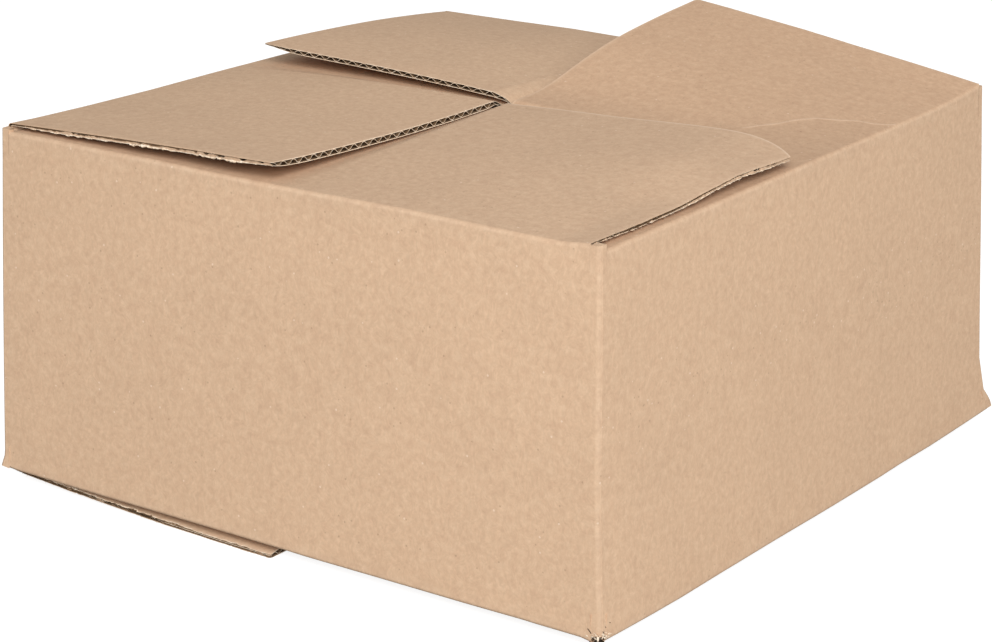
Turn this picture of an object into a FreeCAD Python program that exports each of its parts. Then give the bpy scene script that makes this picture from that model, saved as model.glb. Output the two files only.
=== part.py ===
import FreeCAD, Part
import math
import os

# Closed square carton of single-wall corrugated board. Both ends are shut with four
# equal flaps laid in a pinwheel, each one over its left neighbour and under its right.
# The box is one folded sheet, so it is one solid. Its walls stand round the Z axis and
# it rests on z = 0. The glued joint is the upright corner at -X, +Y. Lengths are in mm.

# Board
board_thickness = 3.0
liner_thickness = 0.4
medium_thickness = 0.35
flute_pitch = 6.17
flute_depth = 9.0

# Walls
box_side = 300.0
wall_height = 148.0
wall_lean = 2.57
inner_fold_radius = 1.0

# Flaps
free_edge_gap = 3.0
layer_gap = 0.35
hinge_inset = 4.3
centre_lift = 3.0
fold_reach = 12.0
post_drop = 1.5

# Free corners of the top flaps, each flap named for the wall it hinges on
left_flap_lift = 7.9
back_flap_lift = 10.2
right_flap_lift = 21.0
front_flap_lift = 8.0
left_flap_curl = 2.2
back_flap_curl = 1.0
right_flap_curl = 0.85
front_flap_curl = 1.0

# Worn corner of the front flap, and the slanted side edge of the back flap
worn_length = 31.0
worn_width = 13.0
worn_bulge = 4.0
back_flap_trim = 5.0

# Bottom flaps; the front one's side edge is slanted like the top back one's
foot_height = 6.5
foot_flattening = 0.25
bottom_front_trim = 9.0

# Glued joint
joint_groove = 2.5
tab_width = 32.0
tab_bevel = 12.0

fold_radius = inner_fold_radius + board_thickness
fold_facets = 5
lean_slope = 2 * wall_lean / wall_height
level_thickness = board_thickness * math.hypot(1, lean_slope)
top_half = box_side / 2 - wall_lean
bottom_half = box_side / 2 + wall_lean
crease_dip = board_thickness + layer_gap
bottom_crease = foot_height
top_crease = foot_height + wall_height
middle_height = foot_height + wall_height / 2
post_foot = bottom_crease + post_drop
post_top = top_crease - post_drop
lower_fold_end = bottom_crease + fold_reach
upper_fold_end = top_crease - fold_reach
spare = 1.0
up = FreeCAD.Vector(0, 0, 1)
origin = FreeCAD.Vector(0, 0, 0)


def vector(x, y, z):
    return FreeCAD.Vector(x, y, z)


def polygon(points):
    """Flat face through a list of points."""
    return Part.Face(Part.makePolygon(points + points[:1]))


def prism_between(first, second):
    """Solid with flat sides between two like polygons, the first drawn clockwise from outside."""
    faces = [polygon(first[::-1]), polygon(second)]
    for number in range(len(first)):
        faces.append(polygon([first[number - 1], first[number], second[number],
                              second[number - 1]]))
    return Part.Solid(Part.Shell(faces))


def turned(shape, quarter_turns):
    """Copy of a shape turned round the upright axis."""
    copy = shape.copy()
    copy.rotate(origin, up, 90 * quarter_turns)
    return copy


def half_width(height):
    """Half of the outside width of the leaning walls at a height."""
    return box_side / 2 - lean_slope * (height - middle_height)


class Flap:
    """One flap with its fold, hinged on the -X wall; x runs inward, z away from the box."""

    def __init__(self, half, slope, lift, curl):
        self.half = half
        self.slope = slope
        self.lift = lift
        self.curl = curl
        self.length = half - free_edge_gap
        self.half_span = half - hinge_inset

    def crease_height(self, along):
        """Height of the fold: the tucked end sits one board lower than the free end."""
        return -crease_dip * (1 - along / self.half_span) / 2

    def edge_height(self, along):
        """Height of the free edge: under the neighbour at one side, lifted at the other."""
        if along < 0:
            start = self.crease_height(free_edge_gap)
            share = (self.half + along) / self.length
            return start + share * (centre_lift - start) - crease_dip
        share = (along - free_edge_gap) / (self.half_span - free_edge_gap)
        return centre_lift + (self.lift - centre_lift) * share ** self.curl

    def stations(self):
        """Places along the hinge, the tucked end first, where the flap's section is drawn."""
        tucked = [-self.half_span, -self.half_span / 2, -free_edge_gap]
        width = self.half_span - free_edge_gap
        return tucked + [free_edge_gap + width * step / 4 for step in range(5)]

    def between(self, along, measure):
        """A measure of the sections, straight from one station to the next."""
        places = self.stations()
        start, end = places[-2:]
        for low, high in zip(places, places[1:]):
            if along <= high:
                start, end = low, high
                break
        share = (along - start) / (end - start)
        return measure(start) + share * (measure(end) - measure(start))

    def point(self, along, inward, height):
        return vector(inward - self.half, -along, height)

    def section(self, along):
        """Corners of the section across the hinge: wall, fold and flap, one board thick."""
        dip = self.crease_height(along)
        crease = vector(self.slope * dip, 0, dip)
        edge = vector(self.length, 0, self.edge_height(along))
        down = vector(-self.slope, 0, -1).normalize()
        inward = (edge - crease).normalize()
        half_angle = down.getAngle(inward) / 2
        centre = crease + (down + inward).normalize() * (fold_radius / math.sin(half_angle))
        wall_end = crease + down * (fold_radius / math.tan(half_angle)) - centre
        sweep = math.pi - 2 * half_angle
        corners = [vector(-self.slope * fold_reach, 0, -fold_reach)]
        corners += self.fold(centre, wall_end, sweep)
        corners += [edge, edge - vector(0, 0, board_thickness / inward.x)]
        inner = self.fold(centre, wall_end * (inner_fold_radius / fold_radius), sweep)
        corners += reversed(inner)
        corners.append(corners[0] + vector(level_thickness, 0, 0))
        return [self.point(along, corner.x, corner.z) for corner in corners]

    def fold(self, centre, arm, sweep):
        """Points round the fold from the wall to the flap."""
        points = []
        for facet in range(fold_facets + 1):
            angle = sweep * facet / fold_facets
            across = arm.x * math.cos(angle) + arm.z * math.sin(angle)
            rise = arm.z * math.cos(angle) - arm.x * math.sin(angle)
            points.append(centre + vector(across, 0, rise))
        return points

    def flute_void(self, along, opens_up):
        """Triangular channel beside one wave of the fluting, open at the free edge."""
        room = board_thickness - 2 * liner_thickness
        wave_slope = room / (flute_pitch / 2)
        height = room - medium_thickness * math.hypot(1, wave_slope)
        reach = flute_pitch / 2 * height / room
        base_depth = liner_thickness
        tip_depth = liner_thickness + height
        if opens_up:
            base_depth = board_thickness - liner_thickness
            tip_depth = base_depth - height
        fall = self.between(along, self.edge_height) - self.between(along, self.crease_height)
        rise = fall / self.length
        stretch = math.hypot(1, rise)
        corners = []
        for place, depth in ((along - reach, base_depth), (along + reach, base_depth),
                             (along, tip_depth)):
            level = self.between(place, self.edge_height) - depth * stretch + spare * rise
            corners.append(self.point(place, self.length + spare, level))
        inward = flute_depth + spare
        return polygon(corners).extrude(vector(-inward, 0, -rise * inward))

    def voids(self, worn):
        """All flute channels of the free edge, clear of its ends and of the centre."""
        shapes = []
        step = flute_pitch / 2
        count = int(self.half_span / step)
        for number in range(-count, count + 1):
            along = number * step
            clear_centre = abs(along) > free_edge_gap + step
            clear_end = -self.half_span + step < along < self.half_span - step - worn
            if clear_centre and clear_end:
                shapes.append(self.flute_void(along, number % 2 == 0))
        return Part.makeCompound(shapes)

    def shape(self, worn=0.0):
        """Solid skinned over the sections, with the flutes open at its free edge."""
        sections = [self.section(along) for along in self.stations()]
        faces = [polygon(sections[0]), polygon(sections[-1])]
        for first, second in zip(sections, sections[1:]):
            for number, near in enumerate(first):
                side = [near, first[number - 1], second[number - 1], second[number]]
                if near.x < first[number - 1].x:
                    side = side[1:] + side[:1]
                faces += [polygon(side[:3]), polygon([side[0]] + side[2:])]
        return Part.Solid(Part.Shell(faces)).cut(self.voids(worn))


def worn_corner(flap):
    """Block that takes the rubbed-off free corner from the front flap."""
    tip = flap.point(flap.half_span, flap.length, -fold_reach)
    along_edge = tip + vector(0, worn_length, 0)
    along_side = tip - vector(worn_width, 0, 0)
    middle = (along_edge + along_side) / 2
    bulge = middle + (tip - middle).normalize() * worn_bulge
    beyond = tip + vector(worn_width, -worn_width, 0)
    lines = [Part.Arc(along_edge, bulge, along_side).toShape(),
             Part.makeLine(along_side, vector(along_side.x, beyond.y, beyond.z)),
             Part.makeLine(vector(along_side.x, beyond.y, beyond.z), beyond),
             Part.makeLine(beyond, vector(beyond.x, along_edge.y, beyond.z)),
             Part.makeLine(vector(beyond.x, along_edge.y, beyond.z), along_edge)]
    return Part.Face(Part.Wire(lines)).extrude(up * (3 * fold_reach))


def slanted_trim(flap, trim):
    """Wedge that takes a flap's side edge back towards its free corner."""
    start = flap.point(flap.half_span, fold_radius, -fold_reach)
    end = flap.point(flap.half_span - trim, flap.length + spare, -fold_reach)
    beyond = vector(end.x, start.y - spare, end.z)
    return polygon([start, end, beyond]).extrude(up * (3 * fold_reach))


def top_flaps():
    left = Flap(top_half, lean_slope, left_flap_lift, left_flap_curl)
    front = Flap(top_half, lean_slope, front_flap_lift, front_flap_curl)
    right = Flap(top_half, lean_slope, right_flap_lift, right_flap_curl)
    back = Flap(top_half, lean_slope, back_flap_lift, back_flap_curl)
    front_shape = front.shape(worn_length).cut(worn_corner(front))
    back_shape = back.shape(back_flap_trim).cut(slanted_trim(back, back_flap_trim))
    shapes = []
    for quarter_turns, shape in enumerate([left.shape(), front_shape, right.shape(), back_shape]):
        shape.translate(up * top_crease)
        shapes.append(turned(shape, quarter_turns))
    return shapes


def bottom_flaps():
    """Flaps of the underside: the top's pinwheel mirrored, standing on its free corners."""
    flap = Flap(bottom_half, -lean_slope, foot_height + foot_flattening, 1.0)
    span = flap.half_span - free_edge_gap
    drop = (flap.lift - centre_lift) * span / (span - bottom_front_trim)
    front = Flap(bottom_half, -lean_slope, centre_lift + drop, 1.0)
    front_shape = front.shape(bottom_front_trim).cut(slanted_trim(front, bottom_front_trim))
    plain = flap.shape()
    shapes = []
    for quarter_turns, shape in enumerate([plain, front_shape, plain, plain]):
        below = shape.mirror(origin, up)
        below.translate(up * bottom_crease)
        shapes.append(turned(below, quarter_turns))
    return shapes


def leaning_block(low, high, outline):
    """Solid between two heights whose level outline is drawn from the half width."""
    lower = [vector(x, y, low) for x, y in outline(half_width(low))]
    upper = [vector(x, y, high) for x, y in outline(half_width(high))]
    return prism_between(lower, upper)


def rounded_block(low, high, inset, radius, sharp_joint):
    """Block inside the walls' faces, its upright edges rounded but for the joint's."""
    def outline(half):
        reach = half - inset
        return [(-reach, -reach), (reach, -reach), (reach, reach), (-reach, reach)]
    block = leaning_block(low, high, outline)
    edges = []
    for edge in block.Edges:
        box = edge.BoundBox
        at_joint = box.XMax < 0 < box.YMin
        if box.ZLength > spare and not (at_joint and sharp_joint):
            edges.append(edge)
    return block.makeFillet(radius, edges)


def groove():
    """Groove at the glued joint, between the back wall's cut end and the bend of the tab."""
    def outline(half):
        centre_x = -half + fold_radius
        centre_y = half - level_thickness - fold_radius
        points = [(-half - spare, centre_y + fold_radius),
                  (-half + joint_groove, centre_y + fold_radius)]
        start_angle = math.pi - math.acos((fold_radius - joint_groove) / fold_radius)
        for facet in range(fold_facets + 1):
            angle = start_angle + (math.pi - start_angle) * facet / fold_facets
            points.append((centre_x + fold_radius * math.cos(angle),
                           centre_y + fold_radius * math.sin(angle)))
        return points + [(-half - spare, centre_y)]
    return leaning_block(bottom_crease, top_crease, outline)


def glue_tab():
    """Tab of the left wall, glued inside the back wall."""
    def outline(half):
        left = -half + level_thickness / 2
        right = -half + level_thickness + tab_width
        low = half - 2 * level_thickness
        high = half - level_thickness / 2
        return [(left, low), (right, low), (right, high), (left, high)]
    return leaning_block(post_foot, post_top, outline)


def tab_bevels():
    """Wedges that bevel both ends of the glue tab, clear of the back wall."""
    wedges = []
    near = -top_half + hinge_inset
    far = near + tab_width + fold_reach
    drop = tab_bevel * (far - near) / tab_width
    deep = top_half - 3 * level_thickness
    for end, way, half in ((lower_fold_end, 1, bottom_half), (upper_fold_end, -1, top_half)):
        start = half_width(end) - level_thickness
        finish = half_width(end + way * drop) - level_thickness
        corners = [vector(near, start, end), vector(far, start, end),
                   vector(far, finish, end + way * drop)]
        back = [vector(corner.x, deep, corner.z) for corner in corners]
        wedges.append(prism_between(corners, back))
    return wedges


def window(half, base):
    """Opening in the -X wall that the fold of one flap fills."""
    span = half - hinge_inset
    return Part.makeBox(2 * fold_reach, 2 * span, 2 * fold_reach,
                        vector(-half - fold_reach, -span, base))


def wall_ring():
    """The four walls, with a corner post left standing beside each end of a flap."""
    outer = rounded_block(post_foot, post_top, 0, fold_radius, True)
    inner = rounded_block(post_foot, post_top, level_thickness, inner_fold_radius, True)
    ring = outer.cut(inner).fuse(glue_tab())
    openings = [groove()] + tab_bevels()
    for quarter_turns in range(4):
        openings.append(turned(window(top_half, upper_fold_end), quarter_turns))
        openings.append(turned(window(bottom_half, lower_fold_end - 2 * fold_reach), quarter_turns))
    for opening in openings:
        ring = ring.cut(opening)
    return ring


def carton():
    whole = wall_ring().fuse(top_flaps() + bottom_flaps()).removeSplitter()
    below = Part.makeBox(2 * box_side, 2 * box_side, box_side,
                         vector(-box_side, -box_side, -box_side))
    return whole.cut(below)


os.makedirs("parts", exist_ok=True)
folded_carton = carton()
folded_carton.exportStep("parts/folded_carton.step")
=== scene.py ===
import logging
import math
from collections.abc import Sequence
from dataclasses import dataclass, field
from enum import Enum
from functools import partial

import bpy
import numpy as np
from mathutils import Matrix, Vector

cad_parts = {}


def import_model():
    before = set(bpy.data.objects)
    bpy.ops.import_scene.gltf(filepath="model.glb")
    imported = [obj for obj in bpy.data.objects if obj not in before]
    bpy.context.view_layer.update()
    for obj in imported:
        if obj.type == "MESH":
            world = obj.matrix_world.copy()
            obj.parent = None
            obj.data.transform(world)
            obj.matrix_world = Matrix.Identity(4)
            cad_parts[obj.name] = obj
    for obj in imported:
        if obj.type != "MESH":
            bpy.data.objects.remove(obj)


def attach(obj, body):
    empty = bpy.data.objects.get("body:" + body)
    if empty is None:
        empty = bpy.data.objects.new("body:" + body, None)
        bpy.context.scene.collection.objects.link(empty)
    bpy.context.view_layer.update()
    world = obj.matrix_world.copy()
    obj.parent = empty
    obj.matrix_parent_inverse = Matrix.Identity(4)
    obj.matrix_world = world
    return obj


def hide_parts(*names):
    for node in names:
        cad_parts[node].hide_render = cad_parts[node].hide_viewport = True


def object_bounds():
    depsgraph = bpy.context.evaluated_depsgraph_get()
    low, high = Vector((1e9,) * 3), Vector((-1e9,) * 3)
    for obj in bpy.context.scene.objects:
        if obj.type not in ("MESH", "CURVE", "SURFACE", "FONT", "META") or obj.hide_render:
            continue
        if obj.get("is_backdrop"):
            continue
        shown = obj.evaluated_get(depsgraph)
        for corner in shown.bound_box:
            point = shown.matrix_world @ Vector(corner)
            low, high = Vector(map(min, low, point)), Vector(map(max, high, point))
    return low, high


# Looks of a closed carton of corrugated board. Lengths are in millimetres in the part's
# frame until a mesh is made; Blender's are metres.

LOG = logging.getLogger("carton")
MM = 0.001
NODE = "folded_carton"
BODY = "root"


class Wall(Enum):
    """Walls of the box; the value counts quarter turns from the -X wall."""

    LEFT = 0
    FRONT = 1
    RIGHT = 2
    BACK = 3


class End(Enum):
    """The two closed ends of the box."""

    TOP = 1
    BOTTOM = -1


class Paper(Enum):
    """Surfaces of the board; the value is the material slot on each mesh."""

    LINER = 0
    CUT = 1
    # Fluting and the liners' inner faces, in the fluting paper's colour darkened with painted shade.
    FLUTING = 2


@dataclass(frozen=True)
class Board:
    """Single-wall corrugated board with B flutes."""

    thickness: float = 3.0
    liner: float = 0.32
    fluting: float = 0.26
    pitch: float = 6.17
    fold_radius: float = 1.8
    least_radius: float = 0.12
    layer_gap: float = 0.35

    def radius(self, depth: np.ndarray | float) -> np.ndarray | float:
        """Fold radius at a depth below the outer face; deep layers are crushed sharp."""
        return np.maximum(self.fold_radius - depth, self.least_radius)


@dataclass(frozen=True)
class Box:
    """Main sizes of the carton; its lower folds sag 2 mm below the solid model's."""

    side: float = 300.0
    wall_height: float = 150.0
    lean: float = 2.57
    foot: float = 4.5
    fold_reach: float = 12.0
    hinge_inset: float = 4.3
    post_drop: float = 1.5
    free_gap: float = 3.0
    centre_lift: float = 3.0

    @property
    def slope(self) -> float:
        """Run of a wall's lean per unit of height."""
        return 2 * self.lean / self.wall_height

    @property
    def bottom_crease(self) -> float:
        """Height of the lower folds."""
        return self.foot

    @property
    def top_crease(self) -> float:
        """Height of the upper folds."""
        return self.foot + self.wall_height

    def half(self, z: float) -> float:
        """Half of the outside width at a height.

        Args:
            z: Height above the floor.

        Returns:
            Distance from the Z axis to a wall's outer face.
        """
        return self.side / 2 - self.slope * (z - self.foot - self.wall_height / 2)


@dataclass(frozen=True)
class FlapSpec:
    """How one flap lies.

    Args:
        wall: Wall that it hinges on.
        end: End of the box that it closes.
        profile: Free edge of the uncovered half, as pairs of place and height.
        gap: Distance from the free edge to the box's middle.
        inset_fold: Side edge's distance inside the wall's face at the fold.
        inset_tip: The same at the free corner.
        tear: Depth of the torn fringe on the uncovered side edge.
        worn: Length and width of a rubbed-off free corner.
        corner: Radius of the free corner.
        seed: Seed of the flap's random wear.
        pinch: How far the board is crushed along the uncovered side edge, more at its
            fold end and more at its free corner, as shares of its thickness.
        bow: Arch of the uncovered half between the fold and the free edge.
        fringe: Where torn fluff hangs on the side edge: start, stop and size.
        hinge: Heights of the fold as pairs of place and height; without them the tucked
            end lies one board lower than the free end.
        thin: How far the board is crushed along the free edge, as a share.
        arch: Heights added along the uncovered side, as pairs of share and height.
        tint: Colour factors of this flap's paper.
        rubbed: How pale the uncovered side edge is worn, 0 to 1.
        edge_wear: How pale the free edge is worn, 0 to 1.
        belly: Arch along the hinge's middle, between the fold and the free edge.
        crease: Line of a crease across the flap, as pairs of place along the hinge and
            distance from it.
    """

    wall: Wall
    end: End
    profile: tuple
    gap: float
    inset_fold: float
    inset_tip: float
    tear: float
    worn: tuple
    corner: float
    seed: int
    pinch: tuple = (0.1, 0.2, 0.1)
    bow: float = 0.0
    fringe: tuple = (0.1, 0.95, 0.35)
    hinge: tuple = ()
    thin: float = 0.0
    arch: tuple = ()
    tint: tuple = (1.0, 1.0, 1.0)
    rubbed: float = 1.0
    edge_wear: float = 0.6
    belly: float = 0.0
    crease: tuple = ()


def smooth_step(x: np.ndarray) -> np.ndarray:
    """Smooth rise from 0 to 1.

    Args:
        x: Share of the way, clipped to 0..1.

    Returns:
        Eased share.
    """
    x = np.clip(x, 0.0, 1.0)
    return x * x * (3 - 2 * x)


def wander(rng: np.random.Generator, length: float, period: float, count: int) -> np.ndarray:
    """Smooth random line between -1 and 1.

    Args:
        rng: Random source.
        length: Length that the line covers.
        period: Distance between its random points.
        count: Number of samples returned.

    Returns:
        Samples along the line.
    """
    knots = max(4, int(length / period) + 3)
    values = rng.uniform(-1, 1, knots)
    place = np.linspace(0, knots - 2.001, count)
    low = place.astype(int)
    share = smooth_step(place - low)
    return values[low] * (1 - share) + values[low + 1] * share


def link(made: bpy.types.Object) -> bpy.types.Object:
    """Puts an object in the scene and returns it."""
    bpy.context.scene.collection.objects.link(made)
    return made


@dataclass
class MeshDraft:
    """Collects grids of points and turns them into one Blender mesh.

    Args:
        name: Name of the piece.
        grids: Points, faces, slots, wear, fold and tint of each grid.
        count: Number of points so far.
    """

    name: str
    grids: list = field(default_factory=list)
    count: int = 0

    def grid(self, points: np.ndarray, paper: Paper, flip: bool = False,
             wear: np.ndarray | float = 0.0, fold: np.ndarray | float = 0.0,
             tint: np.ndarray | float = 1.0) -> None:
        """Adds a grid of quads.

        Args:
            points: Array of rows by columns by 3, in the part's frame.
            paper: Surface of the board that the grid shows.
            flip: True to turn the faces over.
            wear: Rubbing at cut edges, 0 to 1, per point or for all.
            fold: Nearness to a fold's ridge, 0 to 1, per point or for all.
            tint: Colour factors, the paper's own tone and painted shade, rows by columns by 3 or for
                all.
        """
        rows, columns = points.shape[:2]
        index = self.count + np.arange(rows * columns).reshape(rows, columns)
        quads = np.stack([index[:-1, :-1], index[:-1, 1:], index[1:, 1:], index[1:, :-1]], -1)
        quads = quads.reshape(-1, 4)[:, ::-1 if flip else 1]
        self.grids.append((points.reshape(-1, 3), quads, np.full(len(quads), paper.value),
                           np.broadcast_to(wear, (rows, columns)).ravel(),
                           np.broadcast_to(fold, (rows, columns)).ravel(),
                           np.broadcast_to(tint, points.shape).reshape(-1, 3)))
        self.count += rows * columns

    def build(self, materials: Sequence[bpy.types.Material]) -> bpy.types.Object:
        """Makes the Blender object, in metres, with its attributes and materials.

        Args:
            materials: One material per Paper value.

        Returns:
            The linked object.
        """
        points, faces, slots, wear, fold, tint = (np.concatenate(a) for a in zip(*self.grids))
        mesh = bpy.data.meshes.new(self.name)
        mesh.vertices.add(len(points))
        mesh.loops.add(faces.size)
        mesh.polygons.add(len(faces))
        mesh.vertices.foreach_set("co", (points * MM).astype(np.float32).ravel())
        mesh.loops.foreach_set("vertex_index", faces.astype(np.int32).ravel())
        mesh.polygons.foreach_set("loop_start", np.arange(0, faces.size, 4, dtype=np.int32))
        mesh.polygons.foreach_set("material_index", slots.astype(np.int32))
        mesh.update(calc_edges=True)
        mesh.polygons.foreach_set("use_smooth", np.ones(len(faces), dtype=bool))
        colour = np.column_stack([tint, np.ones(len(points))])
        for name, kind, key, values in (("wear", "FLOAT", "value", wear),
                                        ("fold", "FLOAT", "value", fold),
                                        ("tint", "FLOAT_COLOR", "color", colour)):
            layer = mesh.attributes.new(name, kind, "POINT")
            layer.data.foreach_set(key, values.astype(np.float32).ravel())
        for material in materials:
            mesh.materials.append(material)
        mesh.validate()
        return link(bpy.data.objects.new(self.name, mesh))


@dataclass(frozen=True)
class Knock:
    """One soft dent, sag or flare: what lies near a place is pushed.

    Args:
        place: Middle of the knock.
        reach: Half sizes of the region that moves.
        push: Movement at the middle.
    """

    place: tuple
    reach: tuple
    push: tuple


@dataclass
class Knocks:
    """All the knocks that the carton has taken."""

    knocks: tuple = (
        Knock((152.5, 152.5, 4.5), (16.0, 26.0, 20.0), (0.6, 11.0, 1.6)),
        Knock((152.5, 10.0, 4.5), (45.0, 400.0, 55.0), (0.4, 0.0, -1.9)),
        Knock((-152.5, -152.5, 4.5), (10.0, 10.0, 9.0), (-1.6, -0.6, 1.2)),
        Knock((-152.0, -152.0, 80.0), (60.0, 60.0, 200.0), (-1.3, 0.0, 0.0)),
        Knock((150.0, 150.0, 150.0), (60.0, 60.0, 170.0), (0.0, 2.2, 0.0)),
        Knock((152.5, -152.5, 60.0), (22.0, 22.0, 80.0), (-0.75, -0.35, 0.0)),
    )

    def bend(self, points: np.ndarray) -> np.ndarray:
        """Moves the points near each knock.

        Args:
            points: Array whose last axis is x, y, z.

        Returns:
            Moved copy of the points, none of them under the floor.
        """
        moved = points.copy()
        for knock in self.knocks:
            offset = (points - np.array(knock.place)) / np.array(knock.reach)
            share = smooth_step(1 - np.linalg.norm(offset, axis=-1))[..., None]
            moved += share * np.array(knock.push)
        moved[..., 2] = np.maximum(moved[..., 2], 0.0)
        return moved


@dataclass
class FlapSurface:
    """Maps places on one flap and its fold to points in the part's frame.

    Args:
        box: Sizes of the carton.
        board: Sizes of the board.
        spec: How this flap lies.
        cover: How the flap that lies over it lies.
    """

    box: Box
    board: Board
    spec: FlapSpec
    cover: FlapSpec

    def __post_init__(self) -> None:
        """Works out the flap's length and the heights of its free edge."""
        box, board, spec = self.box, self.board, self.spec
        top = spec.end is End.TOP
        self.half_width = box.half(box.top_crease if top else box.bottom_crease)
        self.slope = box.slope if top else -box.slope
        self.length = self.half_width - spec.gap
        self.half_span = self.half_width - box.hinge_inset
        self.dip = board.thickness + board.layer_gap
        self.places = np.arange(-160.0, 160.5, 0.5)
        self.heights = self._edge_table()
        self.spots = np.arange(0.0, self.length + 0.5, 0.5)
        table = np.interp(self.spots / self.length, *zip(*(spec.arch or ((0, 0), (1, 0)))))
        self.arches = self._rounded(table, 3.0) * smooth_step(self.spots / 6)

    def _edge_table(self) -> np.ndarray:
        """Heights of the free edge along the hinge, rounded where the board can't kink."""
        over_t, over_z = (list(values) for values in zip(*self.spec.profile))
        rise = (over_z[-1] - over_z[-2]) / (over_t[-1] - over_t[-2])
        far = self.places[-1]
        over_z.append(over_z[-1] + rise * (far - over_t[-1]))
        over_t.append(far)
        fold = self.crease(self.box.free_gap)
        tucked_t = np.array([-far, -over_t[0]])
        share = (self.half_width + tucked_t) / (self.half_width - self.cover.gap)
        tucked_z = fold + share * (self.cover.profile[0][1] - fold) - self.dip
        raw = np.interp(self.places, np.append(tucked_t, over_t), np.append(tucked_z, over_z))
        share = smooth_step((np.abs(self.places) - 8.0) / 14.0)
        return self._rounded(raw, 1.0) * (1 - share) + self._rounded(raw, 5.0) * share

    def _rounded(self, values: np.ndarray, spread: float) -> np.ndarray:
        """Blurs a table of heights over a distance."""
        offsets = np.arange(-int(6 * spread), int(6 * spread) + 1) * 0.5
        weights = np.exp(-0.5 * (offsets / spread) ** 2)
        weights /= weights.sum()
        pad = len(offsets) // 2
        start = values[0] - (values[1] - values[0]) * np.arange(pad, 0, -1)
        end = values[-1] + (values[-1] - values[-2]) * np.arange(1, pad + 1)
        return np.convolve(np.concatenate([start, values, end]), weights, "valid")

    def crease(self, t: np.ndarray) -> np.ndarray:
        """Height of the fold's virtual ridge.

        Args:
            t: Place along the hinge, positive on the uncovered side.

        Returns:
            Height relative to the crease of the box.
        """
        if self.spec.hinge:
            places, heights = zip(*self.spec.hinge)
            return np.interp(t, places, heights)
        return -self.dip * (1 - t / self.half_span) / 2

    def point(self, t: np.ndarray, q: np.ndarray, depth: float | np.ndarray) -> np.ndarray:
        """Point of the board.

        Args:
            t: Place along the hinge.
            q: -1..0 on the wall below the fold, 0..1 round it, 1..2 along the flap.
            depth: Distance below the outer face.

        Returns:
            Points in the part's frame.
        """
        t, q, depth = np.broadcast_arrays(np.asarray(t, float), np.asarray(q, float),
                                          np.asarray(depth, float))
        radius = self.board.radius(depth)
        dip = self.crease(t)
        crease = np.stack([self.slope * dip, dip], -1)
        edge = np.stack([np.full_like(t, self.length),
                         np.interp(t, self.places, self.heights)], -1)
        down = np.array([-self.slope, -1.0]) / math.hypot(1, self.slope)
        inward = edge - crease
        inward /= np.linalg.norm(inward, axis=-1, keepdims=True)
        half_angle = np.arccos(np.clip(inward @ down, -1, 1)) / 2
        middle = down + inward
        middle /= np.linalg.norm(middle, axis=-1, keepdims=True)
        away = depth + radius
        centre = crease + middle * (away / np.sin(half_angle))[..., None]
        tangent = (away / np.tan(half_angle))[..., None]
        scale = (radius / away)[..., None]
        arm = crease + down * tangent - centre
        foot = np.stack([-self.slope * self.box.fold_reach + depth * math.hypot(1, self.slope),
                         np.full_like(t, -self.box.fold_reach)], -1)
        wall_end = centre + arm * scale
        flap_start = centre + (crease + inward * tangent - centre) * scale
        tip = edge - np.stack([np.zeros_like(t), depth / inward[..., 0]], -1)
        arch = np.clip(q - 1, 0, 1)
        lift = np.interp(arch * self.length, self.spots, self.arches) * smooth_step((t - 50) / 90)
        bow = self.spec.bow * smooth_step(t / 60) + self.spec.belly * np.exp(-(t / 50) ** 2)
        arch = 4 * arch * (1 - arch) * bow + lift
        angle = (math.pi - 2 * half_angle) * np.clip(q, 0, 1)
        turned = np.stack([arm[..., 0] * np.cos(angle) + arm[..., 1] * np.sin(angle),
                           arm[..., 1] * np.cos(angle) - arm[..., 0] * np.sin(angle)], -1)
        low = np.clip(q + 1, 0, 1)[..., None]
        high = np.clip(q - 1, 0, None)[..., None]
        on_wall = foot * (1 - low) + wall_end * low
        on_flap = flap_start * (1 - high) + tip * high
        flat = np.where((q < 0)[..., None], on_wall,
                        np.where((q > 1)[..., None], on_flap, centre + turned * scale))
        return self.place(flat[..., 0] - self.half_width, -t, flat[..., 1] + arch)

    def place(self, x: np.ndarray, y: np.ndarray, z: np.ndarray) -> np.ndarray:
        """Turns the -X wall's coordinates to this flap's wall and end."""
        cosine, sine = ((1, 0), (0, 1), (-1, 0), (0, -1))[self.spec.wall.value]
        if self.spec.end is End.TOP:
            height = self.box.top_crease + z
        else:
            height = np.maximum(self.box.bottom_crease - z, 0.0)
        return np.stack([x * cosine - y * sine, x * sine + y * cosine, height], -1)

    def side_edge(self, share: np.ndarray) -> np.ndarray:
        """Place of the uncovered side edge along the flap.

        Args:
            share: Way from the fold, 0, to the free edge, 1.

        Returns:
            Place along the hinge direction.
        """
        inset = self.spec.inset_fold + (self.spec.inset_tip - self.spec.inset_fold) * share
        return self.half_width - inset

    def pinch(self, t: np.ndarray, q: np.ndarray) -> np.ndarray:
        """Share of the thickness that is crushed at a place."""
        along, at_fold, at_tip = self.spec.pinch
        side = np.maximum(self.side_edge(np.clip(q - 1, 0, 1)) - t, 0)
        from_fold = np.clip(q - 1, 0, 1) * self.length
        from_tip = np.clip(2 - q, 0, 1) * self.length
        crushed = (along * np.exp(-(side / 4) ** 2)
                   + at_fold * np.exp(-(from_fold / 22) ** 2 - (side / 6) ** 2)
                   + at_tip * np.exp(-(from_tip / 9) ** 2 - (side / 12) ** 2)
                   + self.spec.thin * np.exp(-(from_tip / 12) ** 2)
                   + 0.45 * np.exp(-(t / 5) ** 2 - (from_tip / 5) ** 2))
        return np.clip(crushed, 0, 0.85) * smooth_step(q)

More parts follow.
